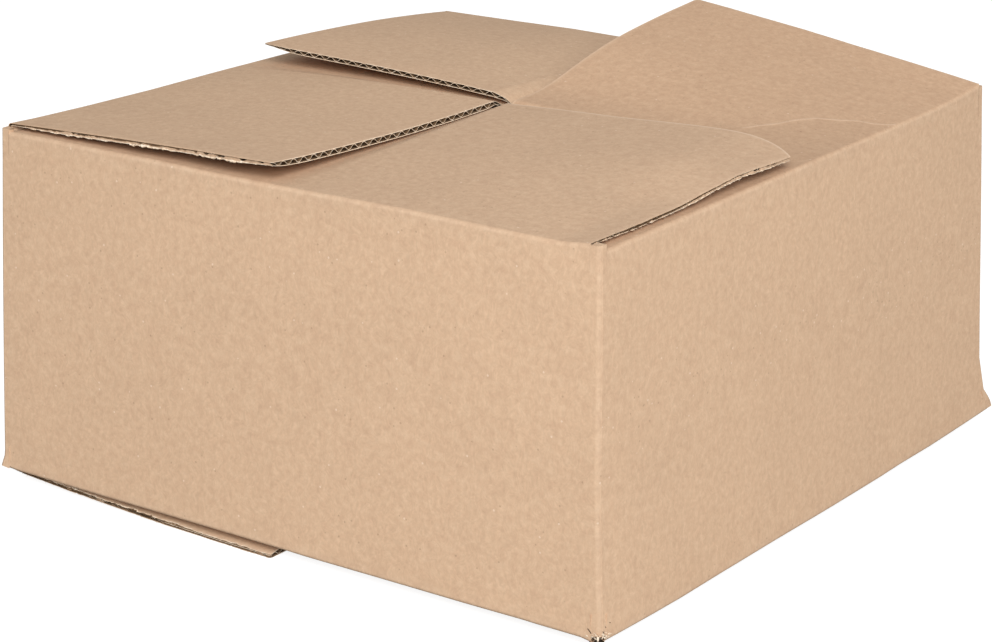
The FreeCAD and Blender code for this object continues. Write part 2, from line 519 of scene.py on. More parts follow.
    def reach(self, t: np.ndarray) -> np.ndarray:
        """Share of the flap's length that is left at a place, less at a worn corner."""
        worn_length, worn_width = self.spec.worn
        tip = self.half_width - self.spec.inset_tip
        along = np.clip((t - (tip - worn_length)) / worn_length, 0, 1) if worn_length else 0 * t
        lost = worn_width * (0.25 * along ** 1.6 + 0.75 * along ** 3.2)
        radius = self.spec.corner
        for edge, sign in ((tip, 1), (-self.half_span, -1)):
            into = np.clip((sign * t - (sign * edge - radius)) / radius, 0, 1)
            lost = np.maximum(lost, radius * (1 - np.sqrt(np.clip(1 - into ** 2, 0, 1))))
        return 1 - lost / self.length


@dataclass
class BoardFlap:
    """One flap of real corrugated board: two liners, the fluting between and torn edges.

    Args:
        surface: Where the flap lies.
        knocks: Dents of the whole carton.
        band: Width of the close-meshed strip along each side edge.
        arc_steps: Rows round the fold.
        web_place: Places of the side web inside the edge, from the inner liner up.
        web_recess: How far the fluting lies behind the liners' free edge, as a share.
    """

    surface: FlapSurface
    knocks: Knocks
    band: float = 7.0
    arc_steps: int = 10
    web_place: tuple = (0.1, 0.35, 0.65, 0.9)
    web_recess: float = 0.0015

    ROWS = {End.TOP: 250, End.BOTTOM: 210}
    SPREAD = np.array([0, .3, .55, .75, .88, .95, .98, 1.0])

    def __post_init__(self) -> None:
        """Lays out the rows and columns of the flap's grids."""
        self.board, self.spec = self.surface.board, self.surface.spec
        self.rng = np.random.default_rng(self.spec.seed)
        self.draft = MeshDraft(f"{self.spec.end.name}_flap_{self.spec.wall.name}".lower())
        self.flip = self.spec.end is End.BOTTOM
        head = np.append([-1.0, -0.4, -0.03], np.linspace(0, 1, self.arc_steps, endpoint=False))
        self.fine = np.append(head, 1 + np.linspace(0, 1, self.ROWS[self.spec.end]))
        flap = np.array([0, .002, .01, .02, .04, .08, .15, .25, .35, .45, .55, .65, .75, .85, .92,
                         .96, .98, .99, .996, 1.0])
        if self.spec.end is End.TOP:
            flap = np.unique(np.append(flap, np.linspace(0, 1, 46).round(4)))
        self.coarse = np.append(head, 1 + flap)
        side = np.linspace(self.band - self.surface.half_span, -10, 44, endpoint=False)
        self.columns = np.concatenate([side, np.arange(-10, 10.1, 0.5), -side[::-1]])

    def ragged(self, depth: float, coarse: float) -> np.ndarray:
        """Random inward bites of a side edge, cut along the flutes.

        Args:
            depth: Depth of the deepest bites.
            coarse: Slow wander of the cut.

        Returns:
            Distance inward for each fine row.
        """
        count, length = len(self.fine), self.surface.length
        slow = wander(self.rng, length, 14.0, count) * coarse
        middle = np.clip(wander(self.rng, length, 2.6, count), 0, 1) * depth * 0.6
        quick = np.clip(wander(self.rng, length, 0.9, count), 0, 1) ** 2 * depth * 0.7
        patch = smooth_step(0.5 + wander(self.rng, length, 22.0, count))
        return slow + (middle + quick) * (0.35 + 0.65 * patch)

    def edge_line(self, over: bool, bites: np.ndarray) -> np.ndarray:
        """Place of a ragged side edge, uncovered or tucked, for every fine row."""
        half_span = self.surface.half_span
        if not over:
            return bites * (self.fine > 0.5) - half_span
        ease = smooth_step(self.fine)
        line = self.surface.side_edge(np.clip(self.fine - 1, 0, 1))
        return half_span * (1 - ease) + (line - bites) * ease

    def point(self, t: np.ndarray, q: np.ndarray | float, depth: np.ndarray | float) -> np.ndarray:
        """Board point with the free edge's outline, the pinch and the knocks applied."""
        q = np.where(q > 1, 1 + (q - 1) * self.surface.reach(t), q)
        depth = depth * (1 - self.surface.pinch(t, q))
        return self.knocks.bend(self.surface.point(t, q, depth))

    def face(self, t: np.ndarray, q: np.ndarray | float, depth: np.ndarray | float, paper: Paper,
             flip: bool = False, **values: np.ndarray | float) -> None:
        """Adds a grid of board points.

        Args:
            t: Places along the hinge.
            q: Places across the fold and flap.
            depth: Depths below the outer face.
            paper: Surface that it shows.
            flip: Turns the faces over.
            values: Wear, fold and tint of the grid.
        """
        self.draft.grid(self.point(t, q, depth), paper, flip != self.flip, **values)

    def sheet(self, depth: float, sink: float, paper: Paper, flip: bool, bites: tuple) -> None:
        """One face of a liner over the whole flap.

        Args:
            depth: Depth of the face below the board's outer face.
            sink: How far the face is crushed towards the board's middle at side edges.
            paper: Surface that it shows.
            flip: Turns the faces over.
            bites: Bites of the uncovered and the tucked side edge.
        """
        coarse, columns, rows = self.coarse, self.columns, self.fine[:, None]
        if self.spec.crease and depth == 0.0:
            coarse = np.unique(np.append(coarse, np.arange(1.0, 1.35, 0.0045)))
            columns = np.unique(np.append(columns, np.arange(16.0, 82.0, 0.6)))
        self.add(columns[None, :], coarse[:, None], depth, paper, flip, 50.0)
        for over, bite in zip((True, False), bites):
            start = columns[-1] if over else columns[0]
            edge = self.edge_line(over, bite)[:, None]
            t = start + (edge - start) * self.SPREAD
            away = np.abs(edge - t)
            crush = sink * np.exp(-away / 0.9) * (rows > 0.9)
            self.add(t, rows, depth + crush, paper, flip != (not over), away)

    def add(self, t: np.ndarray, q: np.ndarray, depth: np.ndarray | float, paper: Paper,
            flip: bool, side_away: np.ndarray | float) -> None:
        """Adds a liner's grid with its wear, its folds, its colour and painted shade at the fold and
        on the creased facet.

        Args:
            t: Places along the hinge.
            q: Places across the fold and flap.
            depth: Depths below the outer face.
            paper: Surface that it shows.
            flip: Turns the faces over.
            side_away: Distances from the nearest side edge.
        """
        length, on_flap, near_fold = self.surface.length, smooth_step(q), np.clip(q, -1, 1.2)
        ridge, facet = self.creased(t, np.clip(q - 1, 0, 1) * length)
        ridge = ridge * smooth_step((q - 0.5) / 0.5)
        end_away = np.clip(2 - q, 0, 2) * length
        wear = np.maximum(np.exp(-side_away / 0.7) * np.where(t > 0, self.spec.rubbed, 0.6),
                          np.exp(-(end_away / 0.9) ** 2) * self.spec.edge_wear)
        wear = np.maximum(wear * on_flap, 0.75 * ridge)
        fold = np.exp(-((near_fold - 0.3) / 0.35) ** 2)
        # Painted shade: the facet below the crease up to 5% darker and the round of the fold up to
        # 6% darker, as if they caught less light.
        shade = (1 - 0.05 * facet * on_flap) * (1 - 0.06 * np.exp(-((near_fold - 0.4) / 0.4) ** 2))
        tint = 1 + (np.array(self.spec.tint) - 1) * on_flap[..., None]
        self.face(t, q, depth - 0.13 * ridge, paper, flip, wear=wear, fold=fold,
                  tint=tint * shade[..., None])

    def creased(self, t: np.ndarray, reach: np.ndarray) -> tuple:
        """The crease across the flap.

        Args:
            t: Places along the hinge.
            reach: Distances from the hinge.

        Returns:
            Nearness to the crease's ridge and share of the facet below it, 0 to 1; the facet is
            painted in shade.
        """
        if not self.spec.crease:
            return 0.0, 0.0
        line = np.array(self.spec.crease)
        nearest = np.inf
        for start, end in zip(line[:-1], line[1:]):
            way = end - start
            share = ((t - start[0]) * way[0] + (reach - start[1]) * way[1]) / (way @ way)
            share = np.clip(share, 0, 1)
            nearest = np.minimum(nearest, np.hypot(t - start[0] - share * way[0],
                                                   reach - start[1] - share * way[1]))
        limit = np.interp(t, line[:-1, 0], line[:-1, 1], left=60.0, right=-6.0)
        return np.exp(-(nearest / 0.55) ** 2), smooth_step((limit - reach) / 5)

    def liner(self, depths: tuple, sink: float, bites: tuple, rim_paper: Paper) -> None:
        """One liner: both its faces, then its cut side edges and free edge.

        Args:
            depths: Depths of its upper and lower face.
            sink: How far it is crushed towards the board's middle at side edges.
            bites: Bites of the uncovered and the tucked side edge.
            rim_paper: Surface that the side edges show.
        """
        for lower, depth in enumerate(depths):
            outside = depth in (0.0, self.board.thickness)
            # The liners' inner faces take the fluting colour, which holds painted shade.
            self.sheet(depth, sink, Paper.LINER if outside else Paper.FLUTING, bool(lower), bites)
        rows = self.fine[:, None]
        for over, bite in zip((True, False), bites):
            self.face(self.edge_line(over, bite)[:, None], rows,
                      np.array(depths) + sink * (rows > 0.9), rim_paper, not over)
        over = self.surface.side_edge(1.0) - bites[0][-1]
        under = bites[1][-1] - self.surface.half_span
        first, last = self.columns[0], self.columns[-1]
        t = np.concatenate([(first + (under - first) * self.SPREAD[1:])[::-1], self.columns,
                            last + (over - last) * self.SPREAD[1:]])
        self.face(t[None, :], 2.0, np.array(depths)[:, None], Paper.CUT)

    def fluting(self) -> None:
        """The corrugated paper between the liners, both its faces and its cut rim."""
        board, surface = self.board, self.surface
        over, under = surface.side_edge(1.0) - 0.5, 0.5 - surface.half_span
        columns = np.arange(under, over, board.pitch / 14)
        drift = wander(self.rng, over - under, 30.0, len(columns)) * 0.35
        wave = np.sin(2 * math.pi * (columns + drift) / board.pitch)
        wave = np.sign(wave) * np.abs(wave) ** 0.85
        squash = 1 - 0.06 * (1 + wander(self.rng, over - under, 9.0, len(columns)))
        room = board.thickness - 2 * board.liner - board.fluting
        middle = board.thickness / 2 + wave * squash * room / 2
        rows = 1 + np.array([0.0, 0.3, 0.6, 0.85, 0.97, 1.0])
        if self.spec.arch:
            rows = 1 + np.append(np.linspace(0, 0.97, 24), 1.0)
        t = np.minimum(columns, surface.side_edge(rows - 1)[:, None] - 0.4)
        rows[-1] -= self.web_recess
        depths = np.stack([middle - board.fluting / 2, middle + board.fluting / 2])
        for lower, depth in enumerate(depths):
            self.face(t, rows[:, None], depth, Paper.FLUTING, bool(lower))
        self.face(t[-1:], rows[-1], depths, Paper.CUT)
        for side in (0, -1):
            self.face(t[:, side, None], rows[:, None], depths[:, side], Paper.CUT, side == 0)

    def web(self, bites: np.ndarray) -> None:
        """The last half wave of the fluting, which closes the uncovered side edge.

        Args:
            bites: Bites of the inner liner's edge per fine row.
        """
        keep = self.fine > 0.9
        rows, edge = self.fine[keep, None], self.edge_line(True, bites)[keep, None]
        count, length = len(rows), self.surface.length
        drift = 1 + 0.35 * wander(self.rng, length, 4.0, count)[:, None]
        torn = np.clip(2.4 * wander(self.rng, length, 1.9, count) - 0.25, 0, 1)[:, None]
        foot = self.board.thickness - self.board.liner - 0.02
        depth = np.array([foot, 2.0, 1.2, 0.47]) + torn * np.array([0, 0, 0.9, 1.5])
        depth += 0.07 * self.rng.standard_normal(depth.shape) * np.array([0, 1, 1, 1])
        self.face(edge - np.array(self.web_place) * drift, rows, depth, Paper.LINER, True,
                  wear=0.05, tint=0.85)

    def fringe(self, bites: np.ndarray) -> None:
        """Pale torn fluff that hangs along the inner liner's side edge.

        Args:
            bites: Bites of the inner liner's edge per fine row.
        """
        start, stop, size = self.spec.fringe
        run = self.surface.length * (stop - start)
        count = int(run / 0.3)
        share = np.linspace(start, stop, count)
        edge = np.interp(1 + share, self.fine, self.edge_line(True, bites))
        slow = 0.6 + 0.4 * wander(self.rng, run, 16.0, count)
        lumps = (0.5 + 0.5 * wander(self.rng, run, 1.9, count)) ** 1.5
        quick = 0.7 + 0.3 * wander(self.rng, run, 0.7, count)
        ends = smooth_step(np.minimum(share - start, stop - share) / 0.05)
        radius = size * slow * (0.2 + 0.8 * lumps) * quick * ends + 0.02
        middle_t = edge - 0.1 + 0.35 * size * wander(self.rng, run, 2.2, count)
        middle_d = self.board.thickness - 0.25 + 0.3 * size * wander(self.rng, run, 1.8, count)
        tufts = np.clip(2.4 * wander(self.rng, run, 5.5, count) - 1.0, 0, 1)
        angles = np.linspace(0, 2 * math.pi, 8)
        rough = 1 + 0.28 * self.rng.standard_normal((count, len(angles)))
        rough[:, -1] = rough[:, 0]
        radius = (radius * (1 + 1.1 * tufts))[:, None] * rough
        self.face(middle_t[:, None] + radius * np.cos(angles), 1 + share[:, None],
                  middle_d[:, None] + radius * 0.9 * np.sin(angles), Paper.CUT, True)

    def fibres(self, count: int, longest: float) -> None:
        """Torn paper fibres along the uncovered side edge.

        Args:
            count: Number of fibres.
            longest: Length of the longest one.
        """
        rng, board, flap_length = self.rng, self.board, self.surface.length
        share = rng.uniform(0.02, 0.995, count)
        layer = rng.random(count)
        depth = np.where(layer < 0.4, rng.uniform(0, board.liner + 0.25, count),
                         board.thickness - rng.uniform(0, board.liner + 0.5, count))
        depth = np.where(layer > 0.92, rng.uniform(0.8, 2.2, count), depth)
        root = self.surface.side_edge(share) - rng.uniform(0.1, 0.5, count) * (1 + self.spec.tear)
        length = longest * rng.uniform(0.25, 1.0, count) ** 2
        lean = rng.uniform(-1.3, 1.3, count) * length / flap_length
        drop = rng.uniform(-0.5, 0.7, count) * length
        width = rng.uniform(0.05, 0.16, count) / flap_length
        steps = np.array([0.0, 0.5, 1.0])
        t = root[:, None] + length[:, None] * steps * 0.9
        q = 1 + share[:, None] + lean[:, None] * steps ** 1.5
        half = width[:, None] * (1 - 0.75 * steps)
        down = depth[:, None] + drop[:, None] * steps ** 2
        sides = np.clip(np.stack([q - half, q + half], -1), 1.0, 2.0)
        for fibre in self.point(t[..., None], sides, down[..., None]):
            self.draft.grid(fibre, Paper.CUT, self.flip)

    def build(self, materials: Sequence[bpy.types.Material]) -> bpy.types.Object:
        """Builds the flap's mesh.

        Args:
            materials: One material per Paper value.

        Returns:
            The flap object.
        """
        board, tear, sink = self.board, self.spec.tear, 0.25
        outer_over, inner_over = self.ragged(0.35 * tear, 0.15), self.ragged(0.8 * tear, 0.2)
        outer_under, inner_under = self.ragged(0.3, 0.1), self.ragged(0.3, 0.1)
        self.liner((0.0, board.liner), sink, (outer_over, outer_under), Paper.LINER)
        self.liner((board.thickness - board.liner, board.thickness), -sink,
                   (inner_over, inner_under), Paper.CUT)
        self.fluting()
        self.web(inner_over)
        self.fringe(inner_over)
        self.fibres(int(300 * (0.3 + tear)), 0.9 + 0.5 * tear)
        return self.draft.build(materials)


@dataclass
class TornCorner:
    """The burst lower corner at the front: a hole, shreds of paper and small cracks.

    Args:
        draft: Mesh of the walls.
        knocks: Dents of the whole carton.
        corner: X and Y of the corner at the floor.
        radius: Radius of the corner's round edge.
        shreds: Number of shreds.
        seed: Seed of the shreds' places.
    """

    draft: MeshDraft
    knocks: Knocks
    corner: tuple = (152.45, -152.45)
    radius: float = 1.6
    shreds: int = 34
    seed: int = 31

    def on_wall(self, along: np.ndarray, z: np.ndarray, out: np.ndarray) -> np.ndarray:
        """Places near the corner's skin.

        Args:
            along: Way round the corner: negative on the front wall, positive on the right.
            z: Heights.
            out: Distances outside the skin.

        Returns:
            Points in the part's frame.
        """
        radius = self.radius
        straight = radius * math.pi / 4
        turn = np.clip(along / straight, -1, 1) * math.pi / 4
        past = np.sign(along) * np.maximum(np.abs(along) - straight, 0)
        x = self.corner[0] - radius + (radius + out) * np.sin(turn + math.pi / 4)
        y = self.corner[1] + radius - (radius + out) * np.cos(turn + math.pi / 4)
        return np.stack([x + np.minimum(past, 0), y + np.maximum(past, 0), z], -1)

    def strip(self, points: np.ndarray, paper: Paper, shade: float) -> None:
        """Adds one small sheet of paper, seen from both sides."""
        self.draft.grid(self.knocks.bend(points), paper, tint=shade)

    def build(self) -> None:
        """Adds crushed paper behind the hole, painted near black as the shade inside the corner, the
        shreds round it and the cracks, painted dark as the shade in their gaps.
        """
        rng = np.random.default_rng(self.seed)
        along, z = np.meshgrid(np.linspace(-6.5, 6.5, 14), np.linspace(3.0, 10.5, 6))
        out = -2.9 + 0.35 * rng.standard_normal(along.shape)
        # Painted shade: the sheet behind the hole is tinted to 16%, near black, as the hollow inside
        # the corner.
        self.strip(self.on_wall(along, z, out), Paper.FLUTING, 0.16)
        for _ in range(self.shreds):
            start = rng.uniform(-6.0, 5.5)
            height = 8.0 + rng.uniform(-0.4, 2.6) * math.exp(-(start / 5) ** 2)
            length = rng.uniform(0.8, 2.6)
            lean = rng.uniform(-1.0, 1.0)
            width = rng.uniform(0.18, 0.55)
            steps = np.linspace(0, 1, 5)[:, None]
            middle = start + lean * length * steps
            half = width * (1 - 0.7 * steps ** 2) * np.array([-1, 1])
            drop = height - rng.uniform(-0.3, 0.9) * length * steps
            curl = 0.06 + rng.uniform(0.2, 0.9) * steps * (1.2 - steps) * length
            self.strip(self.on_wall(middle + half, drop + 0 * half, curl + 0 * half), Paper.CUT,
                       rng.uniform(0.75, 1.0))
        cracks = (((-5.2, 10.8), (-4.2, 9.9), (-3.6, 9.2)), ((1.4, 10.6), (2.1, 9.3), (1.6, 8.4)),
                  ((2.9, 11.9), (3.4, 11.3)), ((5.6, 12.6), (6.3, 12.2)), ((-1.5, 9.4), (-0.4, 8.9)))
        for crack in cracks:
            line = np.array(crack)
            half = rng.uniform(0.1, 0.22, (len(line), 1)) * np.array([-1, 1])
            points = self.on_wall(line[:, :1] + half, line[:, 1:] + half * 0.6, 0.06 + 0 * half)
            # The cracks show the darker fluting paper, tinted further to 40% as painted shade in
            # their gaps.
            self.strip(points, Paper.FLUTING, 0.4)


@dataclass
class WallRing:
    """The four walls with rounded corners, corner posts and the glued joint.

    Args:
        box: Sizes of the carton.
        board: Sizes of the board.
        knocks: Dents of the whole carton.
        corner_steps: Facets round each corner.
        wall_steps: Columns along each wall, closer near the corners.
        posts: Sides of X and Y of each corner post, then how far its top and its foot
            stand above the plain ones.
    """

    box: Box
    board: Board
    knocks: Knocks
    corner_steps: int = 10
    wall_steps: int = 60
    posts: tuple = ((-1, -1, 1.3, 0.0), (1, -1, 0.7, 2.5), (1, 1, 2.4, 0.0), (-1, 1, 0.0, 0.0))

    def __post_init__(self) -> None:
        """Starts the walls' mesh."""
        self.draft = MeshDraft("carton_walls")

    def level(self, z: float, inset: float) -> np.ndarray:
        """Level outline from the joint round to the joint again.

        Args:
            z: Height above the floor.
            inset: Distance inside the outer face.

        Returns:
            One row per point: x, y, z and nearness to a corner's ridge.
        """
        half, radius = self.box.half(z), float(self.board.radius(inset))
        centre = half - inset - radius
        share = (1 - np.cos(np.linspace(0, math.pi, self.wall_steps + 1)))[:, None] / 2
        turn = np.linspace(0, 1, self.corner_steps + 1)
        flat, ridge = np.zeros(self.wall_steps), np.sin(turn * math.pi)
        place = np.array([inset - half, half - self.board.thickness - self.board.fold_radius])
        plan = []
        for quarter, sides in enumerate(((-1, -1), (1, -1), (1, 1)), start=2):
            angle = (quarter + turn) * math.pi / 2
            arc = centre * np.array(sides) + radius * np.stack([np.cos(angle), np.sin(angle)], -1)
            plan += [place + (arc[0] - place) * share[:-1], arc]
            place = arc[-1]
        plan.append(place + (np.array([-half, half - inset]) - place) * share[1:])
        fold = np.concatenate([flat, ridge] * 3 + [flat])
        return np.column_stack([np.concatenate(plan), np.full(len(fold), z), fold])

    def raised(self, rows: np.ndarray, share: np.ndarray | float, end: End) -> np.ndarray:
        """Lifts the posts' rows by their own heights.

        Args:
            rows: Points of the posts.
            share: Part of the lift that each row takes.
            end: The posts' tops or their feet.

        Returns:
            Lifted copy of the rows.
        """
        rows = rows.copy()
        for side_x, side_y, at_top, at_foot in self.posts:
            here = (rows[..., 0] * side_x > 0) & (rows[..., 1] * side_y > 0)
            rows[..., 2] += here * share * (at_top if end is End.TOP else at_foot)
        return rows

    def post_parts(self, rows: np.ndarray, limit: float) -> list:
        """Cuts the corner posts out of rows that run all round.

        Args:
            rows: Rows of outline points.
            limit: Distance from the middle where the flaps' folds end.

        Returns:
            One array of rows per post, whose outermost columns lie where the folds end.
        """
        outside = (np.abs(rows[0, :, :2]) >= limit).all(1).astype(int)
        turns = np.flatnonzero(np.diff(np.concatenate([[0], outside, [0]])))
        parts = [rows[:, max(a - 1, 0):b + 1].copy() for a, b in zip(turns[::2], turns[1::2])]
        for point in (point for part in parts for side in (0, -1) for point in part[:, side]):
            axis = int(abs(point[0]) >= abs(point[1]))
            if abs(point[axis]) < limit:
                point[axis] = math.copysign(limit, point[axis])
        return parts

    def skin(self, rows: np.ndarray, flip: bool) -> None:
        """Adds rows of outline points as a band of liner, with painted shade along the corners'
        rounded ridges.
        """
        # Painted shade: up to 15% darker along each corner's ridge, where the key light would
        # brighten the rounded corner.
        self.draft.grid(self.knocks.bend(rows[..., :3]), Paper.LINER, flip, fold=rows[..., 3],
                        tint=1 - 0.15 * rows[..., 3:])

    def post_band(self, low: float, high: float, inset: float, flip: bool, end: End) -> None:
        """Skins the posts between two heights, at one end of the walls."""
        heights = np.linspace(low, high, 5)
        share = np.linspace(0, 1, 5)[::end.value, None]
        rows = self.raised(np.stack([self.level(z, inset) for z in heights]), share, end)
        limit = min(self.box.half(low), self.box.half(high)) - self.box.hinge_inset
        for part in self.post_parts(rows, limit):
            self.skin(part, flip)

    def post_caps(self, z: float, seam: float, end: End) -> None:
        """Cut faces at the ends of the corner posts.

        Args:
            z: Height of the posts' ends.
            seam: Height where the flaps' walls begin.
            end: The posts' tops or their feet.
        """
        rows = self.raised(np.stack([self.level(z, 0.0), self.level(z, self.board.thickness)]),
                           1.0, end)
        for part in self.post_parts(rows, self.box.half(z) - self.box.hinge_inset):
            self.draft.grid(self.knocks.bend(part[..., :3]), Paper.LINER, end is End.BOTTOM)
            for column in (0, -1):
                side = np.stack([part[:, column, :3]] * 2)
                side[1, :, 2] = seam
                side[..., :2] *= 0.9998
                self.draft.grid(self.knocks.bend(side), Paper.LINER, column == 0)

    def joint(self, foot: float, top: float) -> None:
        """Cut end of the back wall and the bend of the tab beneath it."""
        radius = self.board.fold_radius
        z = np.linspace(foot, top, 9)[:, None]
        half = self.box.half(z)
        inner = half - self.board.thickness
        end = np.stack([half * (-1, -1, -1) + (0, 0, radius), np.hstack([half, inner, inner]),
                        z * (1, 1, 1)], -1)
        self.draft.grid(end, Paper.CUT)
        angle = np.linspace(math.pi / 2, math.pi, self.corner_steps + 1)
        bend = np.stack([radius - half + radius * np.cos(angle),
                         inner - radius + radius * np.sin(angle), z + 0 * angle], -1)
        self.draft.grid(bend, Paper.LINER)

    def build(self, materials: Sequence[bpy.types.Material]) -> bpy.types.Object:
        """Builds the walls' mesh.

        Args:
            materials: One material per Paper value.

        Returns:
            The walls object.
        """
        box = self.box
        low, high = box.bottom_crease + box.fold_reach, box.top_crease - box.fold_reach
        foot, top = box.bottom_crease + box.post_drop, box.top_crease - box.post_drop
        for inset, flip in ((0.0, False), (self.board.thickness, True)):
            self.skin(np.stack([self.level(z, inset) for z in np.linspace(low, high, 9)]), flip)
            self.post_band(foot, low, inset, flip, End.BOTTOM)
            self.post_band(high, top, inset, flip, End.TOP)
        self.post_caps(top, high, End.TOP)
        self.post_caps(foot, low, End.BOTTOM)
        self.joint(foot, top)
        TornCorner(self.draft, self.knocks).build()
        return self.draft.build(materials)


def linear(code: str) -> tuple:
    """Turns an sRGB hex colour to linear values.

    Args:
        code: Colour such as "c8a07a".

    Returns:
        Red, green, blue and alpha for a shader socket.
    """
    values = [int(code[place:place + 2], 16) / 255 for place in (0, 2, 4)]
    curved = [v / 12.92 if v <= 0.04045 else ((v + 0.055) / 1.055) ** 2.4 for v in values]
    return (*curved, 1.0)


def empty_tree(owner: bpy.types.Material | bpy.types.World) -> bpy.types.NodeTree:
    """Node tree of a material or a world, with nothing in it yet."""
    owner.use_nodes = True
    owner.node_tree.nodes.clear()
    return owner.node_tree


def add_node(tree: bpy.types.NodeTree, kind: str, inputs: dict | None = None,
             **settings: object) -> bpy.types.Node:
    """Adds a shader node with its settings and links.

    Args:
        tree: Tree that it goes into.
        kind: Type of node, without Blender's prefix.
        inputs: For each input's name or number a value, or a socket to link from.
        settings: Properties of the node.

    Returns:
        The new node.
    """
    made = tree.nodes.new("ShaderNode" + kind)
    for key, value in settings.items():
        setattr(made, key, value)
    for key, value in (inputs or {}).items():
        if isinstance(value, bpy.types.NodeSocket):
            tree.links.new(value, made.inputs[key])
        else:
            made.inputs[key].default_value = value
    return made


def repeats(size: float) -> float:
    """Texture scale of a pattern whose cells are some millimetres wide."""
    return 1 / (size * MM)


@dataclass(frozen=True)
class KraftPaper:
    """Uncoated brown kraft paper as the machine leaves it: matt, softly mottled by fibre.

    Args:
        name: Material name.
        dark: Colour of the darker fibres.
        base: Main colour.
        light: Colour of the lighter fibres.
        worn: Colour of rubbed folds and edges.
        roughness: Roughness of the surface.
        speck_share: How much the dark and light specks show.
        bump: Height of the fibre relief.
        cloud: Size of the clouds of fibre.
        blotch: Size of the faint uneven patches of a whole sheet.
        fibre: Size of the fine fibre pattern.
        bend: Size of the bends in that pattern.
        scuff: Size of the patches where folds are rubbed.
        specks: Cell size, speck's radius as a share of it, colour and strength.
    """

    name: str
    dark: str
    base: str
    light: str
    worn: str
    roughness: float = 0.82
    speck_share: float = 1.0
    bump: float = 0.05
    cloud: float = 3.0303
    blotch: float = 38.46
    # Real fibres are about 0.03 mm wide. They are drawn coarser, so that they show.
    fibre: float = 1.1111
    bend: float = 11.111
    scuff: float = 8.3333
    specks: tuple = ((3.3333, 0.13, "7a5f48", 0.3), (7.1429, 0.06, "8a6547", 0.35),
                     (4.1667, 0.11, "f0dcc6", 0.4))

    def material(self) -> bpy.types.Material:
        """Builds the material.

        Returns:
            The finished material.
        """
        made = bpy.data.materials.new(self.name)
        add = partial(add_node, empty_tree(made))
        place = add("TexCoord").outputs["Object"]
        wear, fold, tint = (add("Attribute", attribute_name=name).outputs
                            for name in ("wear", "fold", "tint"))
        cloud = add("TexNoise", {"Vector": place, "Scale": repeats(self.cloud), "Detail": 5.0,
                                 "Roughness": 0.62}).outputs["Fac"]
        blotch = add("TexNoise", {"Vector": place, "Scale": repeats(self.blotch), "Detail": 3.0,
                                  "Roughness": 0.5}).outputs["Fac"]
        fibre = self.fibres(add, place)
        ramp = add("ValToRGB", {"Fac": cloud})
        ramp.color_ramp.elements.new(0.5)
        for stop, at, code in zip(ramp.color_ramp.elements, (0.32, 0.5, 0.68),
                                  (self.dark, self.base, self.light)):
            stop.position, stop.color = at, linear(code)
        even = add("Math", {0: blotch, 1: 0.09, 2: 0.955}, operation="MULTIPLY_ADD")
        fine = add("Math", {0: fibre, 1: 0.34, 2: 0.83}, operation="MULTIPLY_ADD")
        light = add("Math", {0: even.outputs[0], 1: fine.outputs[0]}, operation="MULTIPLY")
        colour = add("Mix", {0: 1.0, 6: ramp.outputs["Color"], 7: light.outputs[0]},
                     data_type="RGBA", blend_type="MULTIPLY").outputs[2]
        colour = self.specked(add, place, colour)
        broken = add("TexNoise", {"Vector": place, "Scale": repeats(self.scuff), "Detail": 6.0,
                                  "Roughness": 0.7}).outputs["Fac"]
        patch = add("MapRange", {"Value": broken, "From Min": 0.35, "From Max": 0.65},
                    interpolation_type="SMOOTHSTEP").outputs[0]
        share = add("Math", {0: patch, 1: 0.12, 2: 0.02}, operation="MULTIPLY_ADD")
        folded = add("Math", {0: fold["Fac"], 1: share.outputs[0]}, operation="MULTIPLY")
        rubbed = add("Math", {0: wear["Fac"], 1: 0.55}, operation="MULTIPLY")
        pale = add("Math", {0: folded.outputs[0], 1: rubbed.outputs[0]}, operation="MAXIMUM")
        colour = add("Mix", {0: pale.outputs[0], 6: colour, 7: linear(self.worn)},
                     data_type="RGBA").outputs[2]
        # The tint attribute: each flap's own tone, and painted shade at folds, corners, the creased
        # facet and the torn corner's hollow.
        colour = add("Mix", {0: 1.0, 6: colour, 7: tint["Color"]}, data_type="RGBA",
                     blend_type="MULTIPLY").outputs[2]
        fuzz = add("Math", {0: fibre, 1: 0.6}, operation="MULTIPLY")
        relief = add("Math", {0: cloud, 1: 0.8, 2: fuzz.outputs[0]}, operation="MULTIPLY_ADD")
        cracked = add("Math", {0: fold["Fac"], 1: 1.2}, operation="MULTIPLY")
        relief = add("Math", {0: patch, 1: cracked.outputs[0], 2: relief.outputs[0]},
                     operation="MULTIPLY_ADD")
        bump = add("Bump", {"Height": relief.outputs[0], "Strength": 1.0,
                            "Distance": self.bump * MM})
        shine = add("MapRange", {"Value": cloud, "To Min": self.roughness - 0.08,
                                 "To Max": self.roughness + 0.1})
        paper = add("BsdfPrincipled", {"Base Color": colour, "Roughness": shine.outputs[0],
                                       "Normal": bump.outputs[0], "IOR": 1.5, "Metallic": 0.0,
                                       "Specular IOR Level": 0.3})
        add("OutputMaterial", {"Surface": paper.outputs[0]})
        return made

    def fibres(self, add: partial, place: bpy.types.NodeSocket) -> bpy.types.NodeSocket:
        """Fine pattern of bent upright fibres.

        Args:
            add: Adds a node to the material.
            place: Place on the object.

        Returns:
            The pattern's value socket.
        """
        upright = add("Mapping", {"Vector": place, "Scale": (1.0, 1.0, 0.35)})
        warp = add("TexNoise", {"Vector": place, "Scale": repeats(self.bend), "Detail": 2.0})
        bent = add("MixRGB", {"Fac": 0.008, "Color1": upright.outputs[0],
                              "Color2": warp.outputs["Color"]}, blend_type="LINEAR_LIGHT")
        return add("TexNoise", {"Vector": bent.outputs[0], "Scale": repeats(self.fibre),
                                "Detail": 3.0, "Roughness": 0.6}).outputs["Fac"]

